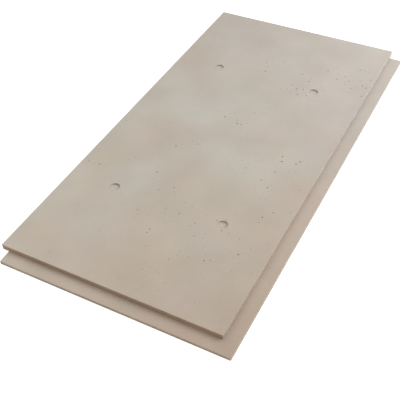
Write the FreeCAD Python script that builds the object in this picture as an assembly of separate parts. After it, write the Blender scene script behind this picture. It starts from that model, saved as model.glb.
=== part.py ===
"""Faux concrete wall panel: one moulding with shiplap edges and four blind form-tie recesses.

Frame: millimetres, the panel lying on its back with its face up. X runs along the short side, Y along
the long side, Z up. The origin is on the underside, at the centre of the panel's overall outline.
"""
import FreeCAD, Part
import os

# ---- driving dimensions ----
base_width = 609.6           # lower plate, short side: 24 in
base_length = 1219.2         # lower plate, long side: 48 in
base_thickness = 8.0         # lower plate
face_thickness = 14.0        # upper plate, which carries the concrete face
lip_width = 36.0             # how far the lower plate stands out on the near and the right side
overhang = 19.5              # how far the upper plate stands out on the far and the left side
plan_corner_radius = 3.0     # both plates, corners seen in plan
face_arris_radius = 1.2      # worn-looking edge all round the face
lip_arris_radius = 0.8       # top edge of the lower plate
tie_diameter = 25.4          # form-tie recess: 1 in
tie_depth = 4.0              # blind, with straight walls and a flat floor
tie_inset_left = 137.0       # left side of the face to the first column of recesses
tie_inset_near = 291.0       # near side of the face to the first row of recesses
tie_spacing_across = 311.0   # between the two columns
tie_spacing_along = 604.0    # between the two rows

# ---- sizes that follow ----
face_width = base_width - lip_width + overhang
face_length = base_length - lip_width + overhang
overall_width = base_width + overhang
overall_length = base_length + overhang
panel_thickness = base_thickness + face_thickness


def moulded_plate(width, length, thickness, arris_radius, corner):
    """A plate with rounded upright edges and a rounded top arris; corner is its low left near corner."""
    block = Part.makeBox(width, length, thickness, corner)
    upright_edges = [edge for edge in block.Edges if edge.BoundBox.ZLength > thickness / 2]
    plate = block.makeFillet(plan_corner_radius, upright_edges)
    middle_height = corner.z + thickness / 2
    top_edges = [edge for edge in plate.Edges if edge.BoundBox.ZMin > middle_height]
    return plate.makeFillet(arris_radius, top_edges)


def tie_recess(centre_x, centre_y):
    """The void of one form-tie recess: a short cylinder sunk from the face."""
    floor_centre = FreeCAD.Vector(centre_x, centre_y, panel_thickness - tie_depth)
    return Part.makeCylinder(tie_diameter / 2, tie_depth, floor_centre)


def wall_panel():
    """The whole panel: the face plate set diagonally across the base plate, fused as one moulding."""
    left = -overall_width / 2
    near = -overall_length / 2
    face_corner = FreeCAD.Vector(left, near + lip_width, base_thickness)
    base_corner = FreeCAD.Vector(left + overhang, near, 0)

    base_plate = moulded_plate(base_width, base_length, base_thickness, lip_arris_radius, base_corner)
    face_plate = moulded_plate(face_width, face_length, face_thickness, face_arris_radius, face_corner)
    panel = face_plate.fuse(base_plate)

    for column in range(2):
        for row in range(2):
            centre_x = face_corner.x + tie_inset_left + column * tie_spacing_across
            centre_y = face_corner.y + tie_inset_near + row * tie_spacing_along
            panel = panel.cut(tie_recess(centre_x, centre_y))
    return panel


os.makedirs("parts", exist_ok=True)
wall_panel().exportStep("parts/wall_panel.step")
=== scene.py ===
# %% [markdown]
# # A faux concrete wall panel
#
# Such a panel is usually one moulding of rigid foam with a thin concrete-coloured coat. An upper
# plate carries the face and is set diagonally across a thinner lower plate. On the near and the right
# side the lower plate stands out as a lip, and on the far and the left side the upper plate overhangs,
# so that panels lap over each other like shiplap boards. Four shallow round recesses in the face copy
# the marks that form ties leave in poured concrete, and small pits copy its trapped air bubbles.
#
# The CAD frame comes first, because every size here has to agree with it.

# %% Load the frame
import math

import bpy
import numpy as np
from mathutils import Matrix, Vector


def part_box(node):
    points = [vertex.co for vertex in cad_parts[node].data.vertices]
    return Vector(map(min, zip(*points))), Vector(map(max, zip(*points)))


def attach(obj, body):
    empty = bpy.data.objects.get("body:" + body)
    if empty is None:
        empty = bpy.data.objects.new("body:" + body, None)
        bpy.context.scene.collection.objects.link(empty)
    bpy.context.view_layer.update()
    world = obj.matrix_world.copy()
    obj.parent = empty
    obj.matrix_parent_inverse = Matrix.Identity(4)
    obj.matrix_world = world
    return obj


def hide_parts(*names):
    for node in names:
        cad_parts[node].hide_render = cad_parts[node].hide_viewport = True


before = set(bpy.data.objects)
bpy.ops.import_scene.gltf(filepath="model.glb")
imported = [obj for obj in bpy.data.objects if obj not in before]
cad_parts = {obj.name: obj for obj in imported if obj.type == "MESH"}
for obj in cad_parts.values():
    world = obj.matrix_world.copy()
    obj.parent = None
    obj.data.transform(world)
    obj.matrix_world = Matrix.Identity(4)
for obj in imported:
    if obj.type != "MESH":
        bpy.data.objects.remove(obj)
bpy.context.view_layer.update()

MM = 0.001
panel_low, panel_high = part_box("wall_panel")
print("frame:", [round(side / MM, 2) for side in panel_high - panel_low], "mm")

# %% [markdown]
# ## Where the two plates lie
#
# The frame gives the panel's overall box. The lips and overhangs then place both plates in plan: the
# upper plate starts at the left and far ends of the box, the lower plate at the right and near ends.

# %% The two plates in plan
lip_width = 36 * MM
overhang = 19.5 * MM
base_top = 8 * MM
face_top = panel_high.z
corner_radius = 3 * MM
face_arris = 1.2 * MM
lip_arris = 0.8 * MM

face_left, face_right = panel_low.x, panel_high.x - lip_width
face_near, face_far = panel_low.y + lip_width, panel_high.y
base_left, base_right = panel_low.x + overhang, panel_high.x
base_near, base_far = panel_low.y, panel_high.y - overhang
print(f"face plate {(face_right - face_left) / MM:.1f} by {(face_far - face_near) / MM:.1f} mm,",
      f"base plate {(base_right - base_left) / MM:.1f} by {(base_far - base_near) / MM:.1f} mm")

# %% The form-tie recesses
tie_radius = 12.7 * MM
tie_depth = 4 * MM
tie_inset_left, tie_inset_near = 137 * MM, 291 * MM
tie_spacing_across, tie_spacing_along = 311 * MM, 604 * MM
tie_x = face_left + tie_inset_left + tie_spacing_across * np.arange(2)
tie_y = face_near + tie_inset_near + tie_spacing_along * np.arange(2)
tie_block = 16 * MM          # half the side of the square patch that each recess takes out of the face
print("recess columns at", np.round(tie_x / MM, 1), "and rows at", np.round(tie_y / MM, 1), "mm")

# %% [markdown]
# ## One set of grid lines for the whole skin
#
# The panel is flat sheets at three heights (face, lip and underside, back) joined by upright walls. If
# all sheets share the same grid lines, their edges meet vertex to vertex and the skin closes by itself.
# The lines crowd together where the edges are rounded and are about 6.4 mm apart elsewhere.

# %% Grid lines
grid_pitch = 6.4 * MM
quarter_turn = np.linspace(0, math.pi / 2, 5)


def edge_lines(edge, inward, arris):
    """Lines over a rounded edge: edge + inward * arris * (1 - cos(angle)) for five angles of a quarter
    turn, and one more where the rounded corner ends."""
    return np.append(edge + inward * arris * (1 - np.cos(quarter_turn)), edge + inward * corner_radius)


def spread_lines(stations):
    """Lines through every station, with each gap between two of them split evenly at about the pitch."""
    stations = np.unique(np.round(stations, 7))
    gaps = [np.linspace(low, high, max(1, round((high - low) / grid_pitch)) + 1)[:-1]
            for low, high in zip(stations[:-1], stations[1:])]
    return np.append(np.concatenate(gaps), stations[-1])


lines_x = spread_lines(np.concatenate([
    edge_lines(face_left, 1, face_arris), edge_lines(face_right, -1, face_arris),
    edge_lines(base_left, 1, lip_arris), edge_lines(base_right, -1, lip_arris),
    tie_x - tie_block, tie_x + tie_block]))
lines_y = spread_lines(np.concatenate([
    edge_lines(face_near, 1, face_arris), edge_lines(face_far, -1, face_arris),
    edge_lines(base_near, 1, lip_arris), edge_lines(base_far, -1, lip_arris),
    tie_y - tie_block, tie_y + tie_block]))
print("grid:", len(lines_x), "by", len(lines_y), "lines")

# %% [markdown]
# ## Rounded plan corners
#
# Each plate corner has a small radius in plan. The square block of cells in a corner is pulled into a
# quarter disc, which keeps the grid's order, so no cell has to be added or cut.

# %% Pull the corner blocks into quarter discs
grid_x, grid_y = np.meshgrid(lines_x, lines_y, indexing="ij")


def round_corner(x, y, corner_x, corner_y, side_x, side_y):
    """Maps the corner's square block to a quarter disc. With u and v from 0 at the block's inner sides to
    1 at the corner, the new u is u * sqrt(1 - v*v / 2), and the new v is v * sqrt(1 - u*u / 2)."""
    u = 1 + (x - corner_x) * side_x / corner_radius
    v = 1 + (y - corner_y) * side_y / corner_radius
    slack = 1e-6
    inside = (u > -slack) & (u < 1 + slack) & (v > -slack) & (v < 1 + slack)
    u, v = np.clip(u, 0, 1), np.clip(v, 0, 1)
    round_x = corner_x + side_x * corner_radius * (u * np.sqrt(1 - v * v / 2) - 1)
    round_y = corner_y + side_y * corner_radius * (v * np.sqrt(1 - u * u / 2) - 1)
    return np.where(inside, round_x, x), np.where(inside, round_y, y)


for left, right, near, far in ((face_left, face_right, face_near, face_far),
                               (base_left, base_right, base_near, base_far)):
    for corner_x, side_x in ((left, -1), (right, 1)):
        for corner_y, side_y in ((near, -1), (far, 1)):
            grid_x, grid_y = round_corner(grid_x, grid_y, corner_x, corner_y, side_x, side_y)
moved = (grid_x != lines_x[:, None]) | (grid_y != lines_y)
print("grid points pulled round:", int(moved.sum()))

# %% [markdown]
# ## Heights
#
# The face of a cast panel is never quite flat: it sinks and rises by a fraction of a millimetre over a
# hand's width, and its edge is slightly nibbled. Both are sums of plane waves in random directions,
# which is smooth, cheap and the same on each run. Everything sinks below the true height and nothing
# rises above it, so the skin stays inside the CAD box.

# %% Soft unevenness and rounded edges
draw = np.random.default_rng(24)


def plane_waves(size, count=14):
    """A function of x and y from about -1 to 1: the mean of count cosines whose wavelengths lie around
    size and whose directions and phases are random, scaled up to fill that range."""
    turn, phase = draw.uniform(0, 2 * math.pi, (2, count))
    shortest, longest = 0.7, 1.6         # wavelengths, as shares of the size
    pace = 2 * math.pi / (size * draw.uniform(shortest, longest, count))
    crest = 1.6                          # the mean seldom passes crest / sqrt(count)

    def waves(x, y):
        steps = np.multiply.outer(x, pace * np.cos(turn)) + np.multiply.outer(y, pace * np.sin(turn))
        return np.clip(np.cos(steps + phase).mean(-1) * math.sqrt(count) / crest, -1, 1)
    return waves


broad_waves = plane_waves(260 * MM)
hand_waves = plane_waves(70 * MM)
edge_nibble = plane_waves(9 * MM)
broad_sink, hand_sink, lip_sink = 0.10 * MM, 0.06 * MM, 0.08 * MM
nibble_depth, nibble_reach = 0.25 * MM, 1.5 * MM
lip_end_fade = 3 * MM
back_rise, back_fade = 0.05 * MM, 20 * MM


def inside_distance(x, y, left, right, near, far):
    """How far a point lies inside a rectangle with rounded corners: the radius, less the distance from
    the point to the rectangle's core, which is the rectangle shrunk by the radius."""
    to_core_x = np.maximum(left + corner_radius - x, x - right + corner_radius)
    to_core_y = np.maximum(near + corner_radius - y, y - far + corner_radius)
    outside = np.hypot(np.maximum(to_core_x, 0), np.maximum(to_core_y, 0))
    return corner_radius - outside - np.minimum(np.maximum(to_core_x, to_core_y), 0)


def arris_drop(inside, radius):
    """The drop of a quarter-round edge: radius - sqrt(radius^2 - (radius - inside)^2), and 0 further in."""
    short = np.clip(radius - inside, 0, radius)
    return radius - np.sqrt(radius**2 - short**2)


def face_height(x, y):
    """Height of the face: its top, less the rounded edge, the nibbles on it and the soft unevenness."""
    inside = inside_distance(x, y, face_left, face_right, face_near, face_far)
    near_edge = np.exp(-np.clip(inside, 0, None) / nibble_reach)
    nibble = nibble_depth * near_edge * np.clip(edge_nibble(x, y), 0, 1)
    sink = broad_sink * (1 - broad_waves(x, y)) + hand_sink * (1 - hand_waves(x, y))
    return face_top - arris_drop(inside, face_arris) - nibble - sink * (1 - near_edge)


def ledge_height(x, y):
    """Height of the level between the plates: the lip's top, rounded off at its outer edge. The rounding
    fades in over 3 mm from the upper plate's wall, where the lip's end starts."""
    inside = inside_distance(x, y, base_left, base_right, base_near, base_far)
    clear_of_wall = np.clip(np.maximum(face_near - y, x - face_right) / lip_end_fade, 0, 1)
    sink = lip_sink * (1 - hand_waves(x, y)) * clear_of_wall
    return base_top - arris_drop(inside, lip_arris) * clear_of_wall - sink


def back_height(x, y):
    """The back lies on the floor at height 0, and rises by up to a tenth of a millimetre between."""
    inside = inside_distance(x, y, base_left, base_right, base_near, base_far)
    return back_rise * (1 + broad_waves(y, x)) * np.clip(inside / back_fade, 0, 1)


flat_part = inside_distance(grid_x, grid_y, face_left, face_right, face_near, face_far) > 10 * MM
below_top = (face_top - face_height(grid_x, grid_y)[flat_part]) / MM
print(f"away from its edges the face lies {below_top.min():.2f} to {below_top.max():.2f} mm below its top")


# %% [markdown]
# ## The sheets and the walls
#
# A cell belongs to the face if it lies in the upper plate, to the back if it lies in the lower one, and
# to the ledge level if it lies in only one of the two: there it is the lip's top or the overhang's
# underside. The walls go down from each sheet's outline to the next sheet with the same outline points.

# %% Which cell belongs to which sheet
middle_x, middle_y = np.meshgrid((lines_x[1:] + lines_x[:-1]) / 2, (lines_y[1:] + lines_y[:-1]) / 2,
                                 indexing="ij")
in_face = (middle_x > face_left) & (middle_x < face_right) & (middle_y > face_near) & (middle_y < face_far)
in_base = (middle_x > base_left) & (middle_x < base_right) & (middle_y > base_near) & (middle_y < base_far)
is_lip, is_underside = in_base & ~in_face, in_face & ~in_base
print("cells: face", int(in_face.sum()), "back", int(in_base.sum()), "lip", int(is_lip.sum()),
      "underside", int(is_underside.sum()))

# %% Points and polygons of the sheets
grid_shape = grid_x.shape
points = [np.stack([grid_x, grid_y, height(grid_x, grid_y)], -1).reshape(-1, 3)
          for height in (face_height, ledge_height, back_height)]
face_ids, ledge_ids, back_ids = np.arange(3 * grid_x.size).reshape(3, *grid_shape)
polygons = []                # pairs: an array with one polygon a row, and the finish of those polygons
# the last finish is a painted shade for the pits and the recesses' rims
COAT, EDGE, BARE, HOLLOW_SHADE = range(4)


def add_points(new_points):
    """Adds points to the skin and returns their numbers, in the shape that the points came in."""
    first = sum(len(block) for block in points)
    points.append(new_points.reshape(-1, 3))
    return first + np.arange(new_points[..., 0].size).reshape(new_points.shape[:-1])


def cell_polygons(ids, chosen, up):
    """One four-sided polygon for each chosen cell, turned to face up or down."""
    corners = np.stack([ids[:-1, :-1], ids[1:, :-1], ids[1:, 1:], ids[:-1, 1:]], -1)[chosen]
    return corners if up else corners[:, ::-1]


# %% Walls along the two outlines
def outline(ids, left, right, near, far):
    """The ids along a plate's outline, anticlockwise seen from above, starting at its near left corner."""
    i0, i1 = np.abs(lines_x - left).argmin(), np.abs(lines_x - right).argmin()
    j0, j1 = np.abs(lines_y - near).argmin(), np.abs(lines_y - far).argmin()
    return np.concatenate([ids[i0:i1, j0], ids[i1, j0:j1], ids[i1:i0:-1, j1], ids[i0, j1:j0:-1]])


def wall_polygons(upper, lower, rows):
    """A band of polygons from one outline down to the other, with evenly spaced rows of points between."""
    skin = np.concatenate(points)
    share = np.linspace(0, 1, rows + 1)[1:-1, None, None]
    between = add_points(skin[upper] * (1 - share) + skin[lower] * share)
    band = np.vstack([upper, between, lower])
    after = np.roll(band, -1, axis=1)
    return np.stack([band[:-1], band[1:], after[1:], after[:-1]], -1).reshape(-1, 4)


face_plate = (face_left, face_right, face_near, face_far)
base_plate = (base_left, base_right, base_near, base_far)
upper_rows, lower_rows = 4, 3
rim_share = 0.5              # the outer half of each rounded edge has lost its coat
upper_wall = wall_polygons(outline(face_ids, *face_plate), outline(ledge_ids, *face_plate), upper_rows)
lower_wall = wall_polygons(outline(ledge_ids, *base_plate), outline(back_ids, *base_plate), lower_rows)
# the upper plate's walls take the thinned coat's tan, which also stands in for their shade
polygons.append((upper_wall, EDGE))
polygons.append((lower_wall, BARE))
lip_rim = inside_distance(middle_x, middle_y, *base_plate) < rim_share * lip_arris
polygons.append((cell_polygons(ledge_ids, is_lip & ~lip_rim, up=True), COAT))
polygons.append((cell_polygons(ledge_ids, is_lip & lip_rim, up=True), BARE))
polygons.append((cell_polygons(ledge_ids, is_underside, up=False), BARE))
polygons.append((cell_polygons(back_ids, in_base, up=False), BARE))
print("walls, lips and back:", sum(len(block) for block, finish in polygons), "polygons")

# %% [markdown]
# ## Round holes in a square grid
#
# A tie recess or a pit takes a square of cells out of the face. Rings of points fill the square again:
# the first ring fans out to the square's own outline, the others go down the wall, and the last one
# closes on a middle point. One function makes all the holes of a kind at once.


# %% Sink round holes
def sink_holes(square, centre, radius, depth, fan, ring_finish, wobble=0.0):
    """Polygons of many like holes. square has one row of outline ids a hole, centre its middle, and
    radius and depth one row of ring sizes a hole. The ring points are centre + radius * (cos, sin) of
    evenly spaced angles, fan times as many as the square has outline points. ring_finish gives the
    finish of each band between two rings. A wobble stretches each ring by 1 + wobble * cos(2 * angle +
    phase) + wobble / 2 * cos(3 * angle + phase), with two random phases a hole."""
    sides = square.shape[1]
    near_left = -0.75 * math.pi          # the direction of the square's first corner
    angle = near_left + 2 * math.pi * np.arange(sides * fan) / (sides * fan)
    phase = draw.uniform(0, 2 * math.pi, (2, len(square), 1, 1))
    stretch = 1 + wobble * np.cos(2 * angle + phase[0]) + wobble / 2 * np.cos(3 * angle + phase[1])
    x = centre[:, 0, None, None] + radius[..., None] * stretch * np.cos(angle)
    y = centre[:, 1, None, None] + radius[..., None] * stretch * np.sin(angle)
    rings = add_points(np.stack([x, y, face_height(x, y) - depth[..., None]], -1))
    floor = face_height(centre[:, 0], centre[:, 1]) - depth[:, -1]
    middle = add_points(np.column_stack([centre, floor]))

    after = np.roll(rings, -1, axis=-1)
    walls = np.stack([rings[:, 1:], after[:, 1:], after[:, :-1], rings[:, :-1]], -1)[..., ::-1]
    centre_ids = np.broadcast_to(middle[:, None], rings[:, -1].shape)
    caps = np.stack([rings[:, -1], after[:, -1], centre_ids], -1)

    half = fan // 2
    first = rings[:, 0].reshape(len(square), sides, fan)
    steps = np.concatenate([first, np.roll(first, -1, axis=1)[..., :1]], -1)
    here, there = square[..., None], np.roll(square, -1, axis=1)[..., None]
    before_half = np.broadcast_to(here, steps[..., :half].shape)
    after_half = np.broadcast_to(there, steps[..., half:-1].shape)
    fans = [np.stack([before_half, steps[..., 1:half + 1], steps[..., :half]], -1),
            np.stack([here, there, steps[..., half:half + 1]], -1),
            np.stack([after_half, steps[..., half + 1:], steps[..., half:-1]], -1)]
    triangles = np.concatenate([piece.reshape(-1, 3) for piece in fans])
    for band, finish in enumerate(ring_finish):
        polygons.append((walls[:, band].reshape(-1, 4), finish))
    polygons.append((caps.reshape(-1, 3), ring_finish[-1]))
    polygons.append((triangles, COAT))


# %% [markdown]
# ## The form-tie recesses
#
# Each recess is a 25.4 mm round, 4 mm deep, with a flat floor, a softened mouth and a small fillet at
# its foot. Its rings follow the mouth's and the foot's quarter turns, and two more cross the floor.

# %% Four tie recesses
open_cells = in_face.copy()
block_cells = round(2 * tie_block / grid_pitch)
tie_squares, tie_centres = [], []
for middle in [(x, y) for x in tie_x for y in tie_y]:
    i, j = (np.abs(lines - (place - tie_block)).argmin() for lines, place in zip((lines_x, lines_y), middle))
    open_cells[i:i + block_cells, j:j + block_cells] = False
    square = face_ids[i:i + block_cells + 1, j:j + block_cells + 1]
    tie_squares.append(np.concatenate([square[:-1, 0], square[-1, :-1], square[:0:-1, -1], square[0, :0:-1]]))
    tie_centres.append(middle)

# the third size is a flat band outside each recess's mouth that also carries the rim's painted shade
mouth_round, foot_round, shaded_rim = 0.6 * MM, 0.5 * MM, 0.4 * MM
floor_rings = np.array([0.7, 0.35])      # shares of the recess's radius
tie_ring_radius = np.concatenate([[tie_radius + mouth_round + shaded_rim],
                                  tie_radius + mouth_round * (1 - np.sin(quarter_turn)),
                                  tie_radius - foot_round * (1 - np.cos(quarter_turn)),
                                  tie_radius * floor_rings])
tie_ring_depth = np.concatenate([[0], mouth_round * (1 - np.cos(quarter_turn)),
                                 tie_depth - foot_round * (1 - np.sin(quarter_turn)),
                                 np.full(len(floor_rings), tie_depth)])
rim_bands = len(quarter_turn)
inner_bands = len(tie_ring_radius) - 1 - rim_bands
tie_count = len(tie_centres)
# the rim and the rounded mouth of each recess carry a painted shade
sink_holes(np.array(tie_squares), np.array(tie_centres), np.tile(tie_ring_radius, (tie_count, 1)),
           np.tile(tie_ring_depth, (tie_count, 1)), fan=3,
           ring_finish=[HOLLOW_SHADE] * rim_bands + [COAT] * inner_bands)
print("tie recesses:", tie_count, "of", 2 * tie_radius / MM, "mm")

# %% [markdown]
# ## The pits
#
# Air bubbles against the form leave pits. Most are 1 to 2 mm across and lie anywhere, and the larger
# ones, up to 4.5 mm across, lie in loose groups. A pit takes one whole cell of the grid: a larger one the
# cell nearest to a place drawn around its group's middle, a finer one any cell.

# %% Where the pits lie
fine_pits = 230
pit_groups = ((150, -350, 75, 15, 0.95), (60, -350, 75, 12, 0.90), (-30, -390, 80, 12, 0.90),
              (10, -275, 60, 7, 0.90), (200, -250, 50, 6, 0.95), (-263, -234, 4, 1, 1.60),
              (190, -20, 40, 6, 1.10), (-30, 80, 45, 5, 1.10), (75, 305, 50, 20, 1.15),
              (175, 400, 60, 14, 1.15), (235, 420, 50, 9, 1.15), (-35, 405, 45, 10, 1.15),
              (0, 0, 420, 26, 1.00))      # middle x and y in mm, spread in mm, number of pits, relative size
group_scatter = 0.6          # the pits' normal scatter around the middle, as a share of the spread
pits_apart = 11 * MM
edge_apart = 12 * MM
whole_cell = 0.8 * grid_pitch
wide_x, wide_y = np.diff(lines_x) > whole_cell, np.diff(lines_y) > whole_cell
far_from_edge = inside_distance(middle_x, middle_y, *face_plate) > edge_apart
candidates = np.argwhere(open_cells & np.outer(wide_x, wide_y) & far_from_edge)
cell_middle = np.column_stack([middle_x[tuple(candidates.T)], middle_y[tuple(candidates.T)]])
group_of_pit = np.repeat(pit_groups, [group[3] for group in pit_groups], axis=0)
draw.shuffle(group_of_pit)
scatter = draw.normal(0, group_scatter, (len(group_of_pit), 2)) * group_of_pit[:, 2:3]
aimed_at = MM * (group_of_pit[:, :2] + scatter)
coarse, coarse_size = [], []
for place, size in zip(aimed_at, group_of_pit[:, 4]):
    cell = np.hypot(*(cell_middle - place).T).argmin()
    if all(np.hypot(*(cell_middle[coarse] - cell_middle[cell]).T) > pits_apart):
        coarse.append(cell)
        coarse_size.append(size)
fine = np.setdiff1d(draw.choice(len(candidates), fine_pits, replace=False), coarse)
picked = np.concatenate([coarse, fine])
print("pits:", len(coarse), "larger and", len(fine), "finer")

# %% Pits from trapped air
pit_count = len(picked)
median_radius, radius_spread = 1.30, 0.28            # of the larger pits, in mm, and its lognormal spread
smallest_radius, largest_radius = 0.8, 2.2
fine_radius = (0.45, 1.0)
depth_share = (1.2, 2.0)                             # the depth as a share of the radius
pit_wobble = 0.12
natural_radius = np.exp(draw.normal(math.log(median_radius), radius_spread, len(coarse)))
natural_radius = np.array(coarse_size) * natural_radius
coarse_radius = np.clip(natural_radius, smallest_radius, largest_radius)
pit_radius = MM * np.concatenate([coarse_radius, draw.uniform(*fine_radius, len(fine))])

half_cell, rim_reach = 0.42 * grid_pitch, 1.25       # the wobbling rim's reach is a share of the radius
room_used = 0.7                                      # how far towards its cell's side a pit may move
pit_room = np.clip(half_cell - rim_reach * pit_radius, 0, None)
pit_centre = cell_middle[picked] + draw.uniform(-1, 1, (pit_count, 2)) * pit_room[:, None] * room_used
pit_depth = pit_radius * draw.uniform(*depth_share, pit_count)
bowl = quarter_turn[:-1]
cell_i, cell_j = candidates[picked].T
pit_squares = np.column_stack([face_ids[cell_i, cell_j], face_ids[cell_i + 1, cell_j],
                               face_ids[cell_i + 1, cell_j + 1], face_ids[cell_i, cell_j + 1]])
open_cells[cell_i, cell_j] = False
# the inside of each pit carries a painted shade
sink_holes(pit_squares, pit_centre, np.outer(pit_radius, np.cos(bowl)), np.outer(pit_depth, np.sin(bowl)),
           fan=4, ring_finish=[HOLLOW_SHADE] * (len(bowl) - 1), wobble=pit_wobble)
face_rim = inside_distance(middle_x, middle_y, *face_plate) < rim_share * face_arris
polygons.append((cell_polygons(face_ids, open_cells & ~face_rim, up=True), COAT))
polygons.append((cell_polygons(face_ids, open_cells & face_rim, up=True), EDGE))
print(f"pits from {2 * pit_radius.min() / MM:.1f} to {2 * pit_radius.max() / MM:.1f} mm across")

# %% [markdown]
# ## Where the coat's tone changes
#
# The coat isn't even: some patches of a hand's width or two are a little cooler, warmer, greener or
# pinker. They are listed here as soft bells. The mesh carries their sum at each point, and
# the coat's material reads it further on.

# %% Soft patches: middle x and y in mm, reach in mm, strength
cool_patches = ((-130, -220, 60, 1.1), (-115, -290, 60, 0.8), (-125, -430, 60, 1.0), (105, -370, 50, 0.9),
                (170, -510, 60, 1.1), (-170, 85, 60, 1.0), (-90, 90, 60, 0.8), (-60, 190, 70, 0.5),
                (-50, -20, 60, 0.6), (110, -90, 60, 1.0), (20, 10, 60, 0.4), (0, 400, 55, 0.6),
                (0, 500, 45, 0.5), (85, 300, 60, 0.6), (220, 230, 80, 0.6), (230, 60, 70, 0.6))
warm_patches = ((0, -500, 90, 1.1), (-170, -30, 60, 0.6), (-260, -180, 70, 0.8), (0, -290, 70, 0.7),
                (60, -210, 60, 0.4), (20, 580, 60, 0.7), (240, -110, 60, 0.6), (200, -240, 60, 0.5),
                (-250, -530, 70, 0.9), (260, 560, 90, 0.7), (-250, 330, 90, 0.5))
green_patches = ((-150, 90, 90, 1.0), (-50, 190, 80, 0.7), (0, -290, 80, 0.6), (110, -200, 80, 0.7),
                 (-270, -190, 60, 0.6), (0, 420, 60, 0.5), (-60, -80, 80, 0.4))
pink_patches = ((-100, -530, 120, 0.7), (260, -150, 90, 1.0), (200, -530, 100, 1.0), (-130, 500, 80, 0.7),
                (150, 470, 90, 0.6), (200, 120, 80, 0.6), (-180, -50, 60, 0.5), (260, 330, 90, 0.4),
                (-280, -420, 70, 0.5))


def patch_balance(x, y, plus, minus):
    """The sum of the plus patches less that of the minus patches. Each patch is a bell, strength *
    exp(-(distance / reach)^2)."""
    places = np.array(plus + minus)
    strength = places[:, 3] * np.repeat((1, -1), (len(plus), len(minus)))
    distance = np.hypot(np.subtract.outer(x, places[:, 0] * MM), np.subtract.outer(y, places[:, 1] * MM))
    return (strength * np.exp(-(distance / (places[:, 2] * MM))**2)).sum(-1)


def coolness(x, y):
    """How much cooler than warm the coat is at a place."""
    return patch_balance(x, y, cool_patches, warm_patches)


def greenness(x, y):
    """How much greener than pink the coat is at a place."""
    return patch_balance(x, y, green_patches, pink_patches)


def lip_wall_shade_mask(x, y):
    """How strong the painted shade on the lip is at a place beside the upper plate's right-hand wall: 1 at
    the wall, and exp(-distance / reach) away from it."""
    reach = 14 * MM
    return np.exp(-np.hypot(x - face_right, np.minimum(y - face_near, 0)) / reach)


print("patches of tone:", sum(map(len, (cool_patches, warm_patches, green_patches, pink_patches))))

# %% [markdown]
# ## From arrays to a mesh
#
# Points that no polygon uses are left out, and the polygons go into the mesh in one step. Edges that
# turn by more than a rounded edge's small steps are marked sharp; the rest is shaded smooth.

# %% Build the panel's mesh
sharp_angle = math.radians(32)


def skin_mesh(name):
    """The mesh of all polygons, with the points numbered again so that only the used ones are kept."""
    flat = np.concatenate([block.ravel() for block, finish in polygons])
    used, corner = np.unique(flat, return_inverse=True)
    sides = np.concatenate([np.full(len(block), block.shape[1]) for block, finish in polygons])
    finishes = np.concatenate([np.full(len(block), finish) for block, finish in polygons])
    mesh = bpy.data.meshes.new(name)
    mesh.vertices.add(len(used))
    mesh.vertices.foreach_set("co", np.concatenate(points)[used].astype(np.float32).ravel())
    mesh.loops.add(len(corner))
    mesh.loops.foreach_set("vertex_index", corner.astype(np.int32).ravel())
    mesh.polygons.add(len(sides))
    mesh.polygons.foreach_set("loop_start", np.cumsum(sides) - sides)
    mesh.polygons.foreach_set("loop_total", sides)
    mesh.polygons.foreach_set("material_index", finishes)
    for tone_and_shade_pattern in (coolness, greenness, lip_wall_shade_mask):
        values = mesh.attributes.new(tone_and_shade_pattern.__name__, "FLOAT", "POINT").data
        values.foreach_set("value", tone_and_shade_pattern(*np.concatenate(points)[used].T[:2]).astype(np.float32))
    mesh.update(calc_edges=True)
    mesh.shade_smooth()
    mesh.set_sharp_from_angle(angle=sharp_angle)
    print(name, "has", int((sides - 2).sum()), "triangles")
    return mesh


panel = bpy.data.objects.new("moulded_panel", skin_mesh("moulded_panel"))
bpy.context.scene.collection.objects.link(panel)
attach(panel, "root")
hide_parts("wall_panel")

# %% [markdown]
# ## The finish
#
# The face and the lips carry the concrete coat: a warm grey that drifts from corner to corner, with soft
# clouds and a fine sandy grain. On the outer walls and edges the coat is thin and the tan foam shows; on
# the upper plate's walls other than the right-hand one, that tan also stands in for their shade.
# Two node groups are shared: one blends four corner tones over the panel, the other adds clouds and grain
# to any tone.


# %% Helpers for shader nodes
def connect(tree, *pairs):
    """Links each output to each input, given two by two."""
    for source, target in zip(pairs[::2], pairs[1::2]):
        tree.links.new(source, target)


def new_group(name, inputs, outputs):
    """A node group with the named input and output sockets. Inputs come as name, kind and default."""
    group = bpy.data.node_groups.new(name, "ShaderNodeTree")
    for socket_name, kind, default in inputs:
        socket = group.interface.new_socket(socket_name, in_out="INPUT", socket_type=kind)
        if default is not None:
            socket.default_value = default
    for socket_name, kind in outputs:
        group.interface.new_socket(socket_name, in_out="OUTPUT", socket_type=kind)
    return group, group.nodes.new("NodeGroupInput"), group.nodes.new("NodeGroupOutput")


def blend(tree, factor, first, second):
    """A colour mix of two colours by a factor, all of them output sockets. Returns its output."""
    mix = tree.nodes.new("ShaderNodeMix")
    mix.data_type = "RGBA"
    connect(tree, factor, mix.inputs["Factor"], first, mix.inputs[6], second, mix.inputs[7])
    return mix.outputs[2]


def ramp(tree, value, from_low, from_high, to_low=0.0, to_high=1.0):
    """A Map Range node with constant ends, fed by an output socket. Returns its output."""
    node = tree.nodes.new("ShaderNodeMapRange")
    ends = {"From Min": from_low, "From Max": from_high, "To Min": to_low, "To Max": to_high}
    for socket, end in ends.items():
        node.inputs[socket].default_value = end
    connect(tree, value, node.inputs["Value"])
    return node.outputs["Result"]


def noise(tree, place, scale, detail):
    """A noise texture. The place is an output socket, and the scale a number or an output socket."""
    node = tree.nodes.new("ShaderNodeTexNoise")
    node.inputs["Detail"].default_value = detail
    connect(tree, place, node.inputs["Vector"])
    if isinstance(scale, (int, float)):
        node.inputs["Scale"].default_value = scale
    else:
        connect(tree, scale, node.inputs["Scale"])
    return node.outputs["Fac"]


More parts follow.
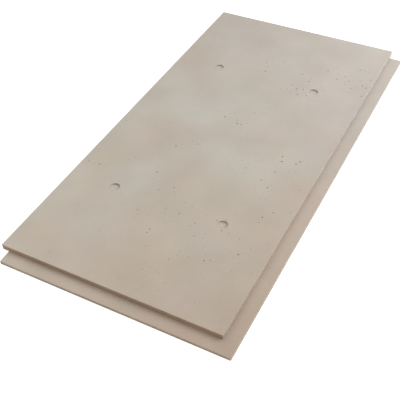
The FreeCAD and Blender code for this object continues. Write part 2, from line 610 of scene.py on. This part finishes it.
# %% The drift of tone from corner to corner
mid_grey = (0.5, 0.5, 0.5, 1)
corner_names = ("Near left", "Near right", "Far left", "Far right")
corner_drift, given, result = new_group(
    "corner drift",
    [("Vector", "NodeSocketVector", None)] + [(name, "NodeSocketColor", mid_grey) for name in corner_names],
    [("Color", "NodeSocketColor")])
split = corner_drift.nodes.new("ShaderNodeSeparateXYZ")
connect(corner_drift, given.outputs["Vector"], split.inputs["Vector"])
across = ramp(corner_drift, split.outputs["X"], panel_low.x, panel_high.x)
along = ramp(corner_drift, split.outputs["Y"], panel_low.y, panel_high.y)
near_tone, far_tone = (
    blend(corner_drift, across, given.outputs[side + " left"], given.outputs[side + " right"])
    for side in ("Near", "Far"))
connect(corner_drift, blend(corner_drift, along, near_tone, far_tone), result.inputs["Color"])
print("node group:", corner_drift.name, "with", len(corner_drift.nodes), "nodes")

# %% Clouds and sandy grain
cast_mottle, given, result = new_group(
    "cast mottle", [("Vector", "NodeSocketVector", None), ("Tone", "NodeSocketColor", mid_grey),
                    ("Cloud scale", "NodeSocketFloat", 8.0), ("Cloud depth", "NodeSocketFloat", 0.04),
                    ("Grain scale", "NodeSocketFloat", 700.0), ("Grain depth", "NodeSocketFloat", 0.06)],
    [("Color", "NodeSocketColor"), ("Roughness", "NodeSocketFloat"), ("Height", "NodeSocketFloat")])
noise_low, noise_high = 0.3, 0.7         # the noise seldom leaves this range
smooth_cloud, rough_cloud = 0.62, 0.74   # roughness where the clouds are palest and darkest
clouds = noise(cast_mottle, given.outputs["Vector"], given.outputs["Cloud scale"], 4)
grain = noise(cast_mottle, given.outputs["Vector"], given.outputs["Grain scale"], 2)
shade = None
for texture, depth in ((clouds, given.outputs["Cloud depth"]), (grain, given.outputs["Grain depth"])):
    centred = ramp(cast_mottle, texture, noise_low, noise_high, -1, 1)
    scaled = cast_mottle.nodes.new("ShaderNodeMath")
    scaled.operation = "MULTIPLY_ADD"
    scaled.inputs[2].default_value = 1.0
    connect(cast_mottle, centred, scaled.inputs[0], depth, scaled.inputs[1])
    if shade is not None:
        connect(cast_mottle, shade, scaled.inputs[2])
    shade = scaled.outputs["Value"]
shaded = cast_mottle.nodes.new("ShaderNodeVectorMath")
shaded.operation = "SCALE"
connect(cast_mottle, given.outputs["Tone"], shaded.inputs[0], shade, shaded.inputs["Scale"],
        shaded.outputs["Vector"], result.inputs["Color"],
        ramp(cast_mottle, clouds, noise_low, noise_high, rough_cloud, smooth_cloud),
        result.inputs["Roughness"],
        grain, result.inputs["Height"])
print("node group:", cast_mottle.name, "with", len(cast_mottle.nodes), "nodes")

# %% [markdown]
# ## The four finishes
#
# Each finish gives the mottle group a tone of its own. The coat's tone is the corner drift, with soft
# patches that are a little cooler, warmer, greener or pinker, and on the lip a painted shade beside the
# upper plate's right-hand wall. On the upper plate's walls the coat is thin and a warm tan, which also
# stands in for their shade; on the right-hand wall it is full coat with a painted shade. The pits and the
# recesses' rims are painted darker as shade, and the bare foam of the lower plate's edges gets greyer
# towards their top.


# %% Tones of the finishes, and casts that multiply them
coat_corners = {"Near left": (0.52, 0.47, 0.39, 1), "Near right": (0.43, 0.35, 0.27, 1),
                "Far left": (0.45, 0.40, 0.35, 1), "Far right": (0.55, 0.51, 0.46, 1)}
warm_cast = (0.980, 0.950, 0.922, 1)
cool_cast = (1.020, 1.046, 1.080, 1)
pink_cast = (1.010, 0.986, 1.000, 1)
green_cast = (0.992, 1.011, 0.997, 1)
# tan where the coat is thin; on the upper plate's walls it also stands in for their shade
thin_coat_and_shade_tone = (0.490, 0.355, 0.240, 1)
# painted shade in the pits and on the recesses' rims
hollow_shade_tone = (0.400, 0.315, 0.235, 1)
lip_cast = (1.000, 0.960, 0.945, 1)
# painted shade on the lip beside the upper plate's right-hand wall
painted_lip_shade = (0.875, 0.870, 0.870, 1)
# painted shade on the coat of the upper plate's right-hand wall
right_wall_shade = (0.940, 0.950, 0.970, 1)
foam_tone = (0.500, 0.370, 0.255, 1)
spray_tone = (0.500, 0.400, 0.305, 1)
white_tone = (1, 1, 1, 1)
noise_part = 0.4                         # how much of each cast comes from a slow noise
slow_low, slow_high = 0.35, 0.65         # the slow noise seldom leaves this range
level_fade = 4 * MM                      # the height over which the lips' tint and painted shade fade out above their top
right_wall = (1.5 * MM, 0.8 * MM)        # the coat begins, and is full, this far in from a right wall
relief_strength = 0.6
spray_start, spray_share = 1 * MM, 0.8   # the spray begins at this height, and reaches this share at the top
print("coat, near left to far right:", coat_corners["Near left"][:3], "to", coat_corners["Far right"][:3])


# %% Helpers for tones
def colour(tree, tone):
    """A constant colour as an output socket."""
    node = tree.nodes.new("ShaderNodeRGB")
    node.outputs["Color"].default_value = tone
    return node.outputs["Color"]


def times(tree, first, second):
    """The product of two colours, both output sockets. Returns its output."""
    product = tree.nodes.new("ShaderNodeVectorMath")
    product.operation = "MULTIPLY"
    connect(tree, first, product.inputs[0], second, product.inputs[1])
    return product.outputs["Vector"]


def mesh_pattern(tree, name):
    """The value of one of the mesh's own patterns at a place."""
    node = tree.nodes.new("ShaderNodeAttribute")
    node.attribute_name = name
    return node.outputs["Fac"]


def axes(tree, place):
    """The X, Y and Z outputs of a place."""
    split = tree.nodes.new("ShaderNodeSeparateXYZ")
    connect(tree, place, split.inputs["Vector"])
    return split.outputs


# %% The coat's tone
def coat_tone(tree, place):
    """The coat's tone at a place: the corner drift, cast warmer or cooler and greener or pinker by the
    patches and a noise. The lips are pinker towards the near side, and carry a painted shade close to the
    upper plate's right-hand wall."""
    drift = tree.nodes.new("ShaderNodeGroup")
    drift.node_tree = corner_drift
    for name, tone in coat_corners.items():
        drift.inputs[name].default_value = tone
    connect(tree, place, drift.inputs["Vector"])
    tone = drift.outputs["Color"]
    for name, noise_scale, low_cast, high_cast in (("coolness", 7.0, warm_cast, cool_cast),
                                                   ("greenness", 5.5, pink_cast, green_cast)):
        slow_noise = ramp(tree, noise(tree, place, noise_scale, 2), slow_low, slow_high,
                          -noise_part, noise_part)
        balance = tree.nodes.new("ShaderNodeMath")
        balance.operation = "ADD"
        connect(tree, mesh_pattern(tree, name), balance.inputs[0], slow_noise, balance.inputs[1])
        tone = times(tree, tone, blend(tree, ramp(tree, balance.outputs["Value"], -1, 1),
                                       colour(tree, low_cast), colour(tree, high_cast)))
    white = colour(tree, white_tone)
    where = axes(tree, place)
    far_share = ramp(tree, where["Y"], panel_low.y, panel_high.y)
    # the lips' pink cast towards the near side, and their painted shade beside the right-hand wall
    lip_tint_and_shade = times(tree, blend(tree, far_share, colour(tree, lip_cast), white),
                     blend(tree, mesh_pattern(tree, "lip_wall_shade_mask"), white, colour(tree, painted_lip_shade)))
    on_face = ramp(tree, where["Z"], base_top, base_top + level_fade)
    level_tint_and_shade = blend(tree, on_face, lip_tint_and_shade, white)
    return times(tree, tone, level_tint_and_shade)


# %% The tones of walls, edges and pits
def edge_tone(tree, place):
    """The tan where the coat is thin, which on the upper plate's walls also stands in for their shade. On the
    right-hand wall of the upper plate it is full coat again, with a painted shade.
    """
    at_right = ramp(tree, axes(tree, place)["X"], face_right - right_wall[0], face_right - right_wall[1])
    return blend(tree, at_right, colour(tree, thin_coat_and_shade_tone),
                 times(tree, coat_tone(tree, place), colour(tree, right_wall_shade)))


def foam_tone_with_spray(tree, place):
    """Tan foam that takes on the spray's tone towards the top of the lower plate's edge, and is coated
    on its right-hand edge."""
    spray = ramp(tree, axes(tree, place)["Z"], spray_start, base_top, 0, spray_share)
    at_right = ramp(tree, axes(tree, place)["X"], base_right - right_wall[0], base_right - right_wall[1])
    edge = blend(tree, spray, colour(tree, foam_tone), colour(tree, spray_tone))
    return blend(tree, at_right, edge, coat_tone(tree, place))


def painted_hollow_shade(tree, place):
    """The painted shade of the pits and of the recesses' rims, one dark tone."""
    return colour(tree, hollow_shade_tone)


# %% Concrete coat, thinned coat with wall shade, bare foam and painted hollow shade
def cast_finish(name, tone, cloud_scale, cloud_depth, bump_depth):
    """A matt cast finish: a tone, mottled and given a fine relief, on a Principled shader."""
    material = bpy.data.materials.new(name)
    material.use_nodes = True
    tree = material.node_tree
    shader = tree.nodes["Principled BSDF"]
    place = tree.nodes.new("ShaderNodeTexCoord").outputs["Object"]
    mottle = tree.nodes.new("ShaderNodeGroup")
    mottle.node_tree = cast_mottle
    mottle.inputs["Cloud scale"].default_value = cloud_scale
    mottle.inputs["Cloud depth"].default_value = cloud_depth
    relief = tree.nodes.new("ShaderNodeBump")
    relief.inputs["Distance"].default_value = bump_depth
    relief.inputs["Strength"].default_value = relief_strength
    connect(tree, place, mottle.inputs["Vector"], tone(tree, place), mottle.inputs["Tone"],
            mottle.outputs["Color"], shader.inputs["Base Color"],
            mottle.outputs["Roughness"], shader.inputs["Roughness"],
            mottle.outputs["Height"], relief.inputs["Height"],
            relief.outputs["Normal"], shader.inputs["Normal"])
    return material


finishes = (("concrete coat", coat_tone, 9.0, 0.04, 0.15 * MM),
            ("thin coat and wall shade", edge_tone, 30.0, 0.08, 0.20 * MM),
            ("bare foam", foam_tone_with_spray, 20.0, 0.10, 0.25 * MM),
            ("painted hollow shade", painted_hollow_shade, 30.0, 0.10, 0.20 * MM))   # in the order COAT, EDGE, BARE and the hollows' painted shade
for finish in finishes:
    panel.data.materials.append(cast_finish(*finish))
print("finishes:", [material.name for material in panel.data.materials])

# %% [markdown]
# ## The studio
#
# The panel lies on a plain pale floor. A very large soft lamp hangs overhead, a smaller one stands lower
# at the right, and the surroundings give a little even fill. The walls that face the viewer and the lip
# under them fall into soft shade. To the camera the floor and the surroundings are white, which adds no
# light to the panel.

# %% Floor
floor_mesh = bpy.data.meshes.new("studio_floor")
floor_reach = 3.0
floor_mesh.from_pydata([(-floor_reach, -floor_reach, 0), (floor_reach, -floor_reach, 0),
                        (floor_reach, floor_reach, 0), (-floor_reach, floor_reach, 0)], [], [(0, 1, 2, 3)])
floor = bpy.data.objects.new("studio_floor", floor_mesh)
bpy.context.scene.collection.objects.link(floor)


def seen_directly(tree):
    """1 for rays from the camera, from gloss and through glass, and 0 for the rays that light things."""
    path = tree.nodes.new("ShaderNodeLightPath")
    seen = path.outputs["Is Camera Ray"]
    for kind in ("Is Glossy Ray", "Is Transmission Ray"):
        either = tree.nodes.new("ShaderNodeMath")
        either.operation = "MAXIMUM"
        connect(tree, seen, either.inputs[0], path.outputs[kind], either.inputs[1])
        seen = either.outputs["Value"]
    return seen


floor_tone = 0.8
floor_glow = 0.75
floor_paint = bpy.data.materials.new("studio floor paint")
floor_paint.use_nodes = True
tree = floor_paint.node_tree
paint = tree.nodes["Principled BSDF"]
paint.inputs["Base Color"].default_value = (floor_tone, floor_tone, floor_tone, 1)
paint.inputs["Roughness"].default_value = 1.0
paint.inputs["Specular IOR Level"].default_value = 0.0
paint.inputs["Emission Color"].default_value = white_tone
connect(tree, ramp(tree, seen_directly(tree), 0, 1, 0, floor_glow), paint.inputs["Emission Strength"])
floor_mesh.materials.append(floor_paint)
print("floor:", 2 * floor_reach, "m square")

# %% Surroundings and lamps
fill_share = 0.15
world = bpy.data.worlds.new("studio")
bpy.context.scene.world = world
world.use_nodes = True
tree = world.node_tree
sky = tree.nodes["Background"]
sky.inputs["Color"].default_value = white_tone
connect(tree, ramp(tree, seen_directly(tree), 0, 1, fill_share, 1), sky.inputs["Strength"])


def soft_lamp(name, azimuth, elevation, half_angle, share, distance):
    """A round lamp that faces the panel and fills a cone of the given half angle, all angles in degrees.
    Its power pi^2 * distance^2 * share / (cos(half angle)^2 * sin(elevation)) gives a level surface that
    share of the light from a white sky."""
    azimuth, elevation, half_angle = (math.radians(angle) for angle in (azimuth, elevation, half_angle))
    towards = Vector((math.cos(elevation) * math.cos(azimuth), math.cos(elevation) * math.sin(azimuth),
                      math.sin(elevation)))
    lamp_data = bpy.data.lights.new(name, "AREA")
    lamp_data.shape = "DISK"
    lamp_data.size = 2 * distance * math.tan(half_angle)
    lamp_data.energy = (math.pi * distance)**2 * share / (math.cos(half_angle)**2 * math.sin(elevation))
    lamp = bpy.data.objects.new(name, lamp_data)
    lamp.location = towards * distance
    lamp.rotation_euler = towards.to_track_quat("Z", "Y").to_euler()
    bpy.context.scene.collection.objects.link(lamp)
    print(f"{name}: {lamp_data.energy:.0f} W, {lamp_data.size:.1f} m across, {distance} m away")


soft_lamp("side lamp", azimuth=30, elevation=32, half_angle=27, share=0.335, distance=6.5)
soft_lamp("overhead lamp", azimuth=90, elevation=85, half_angle=55, share=0.500, distance=4.0)

# %% [markdown]
# ## The camera
#
# A stored panel lies flat, so the camera looks down on it. It stands in front of the near right corner.
# Its place follows from the point it looks at, the two angles, the distance and a slight roll.

# %% Camera
camera_azimuth = math.radians(29.463)
camera_elevation = math.radians(44.091)
camera_roll = math.radians(-2.591)
camera_distance = 1.8515
camera_target = Vector((0.0328, -0.2206, 0))
camera_data = bpy.data.cameras.new("camera")
camera_data.sensor_width = 36            # in mm, as is the lens
camera_data.lens = 64.992
camera = bpy.data.objects.new("camera", camera_data)
turn = (Matrix.Rotation(camera_azimuth, 4, "Z") @ Matrix.Rotation(math.pi / 2 - camera_elevation, 4, "X")
        @ Matrix.Rotation(camera_roll, 4, "Z"))
camera.rotation_euler = turn.to_euler()
camera.location = camera_target + turn.to_3x3() @ Vector((0, 0, camera_distance))
bpy.context.scene.collection.objects.link(camera)
bpy.context.scene.camera = camera
bpy.context.scene.view_settings.view_transform = "Standard"
print("camera at", [round(value, 3) for value in camera.location])
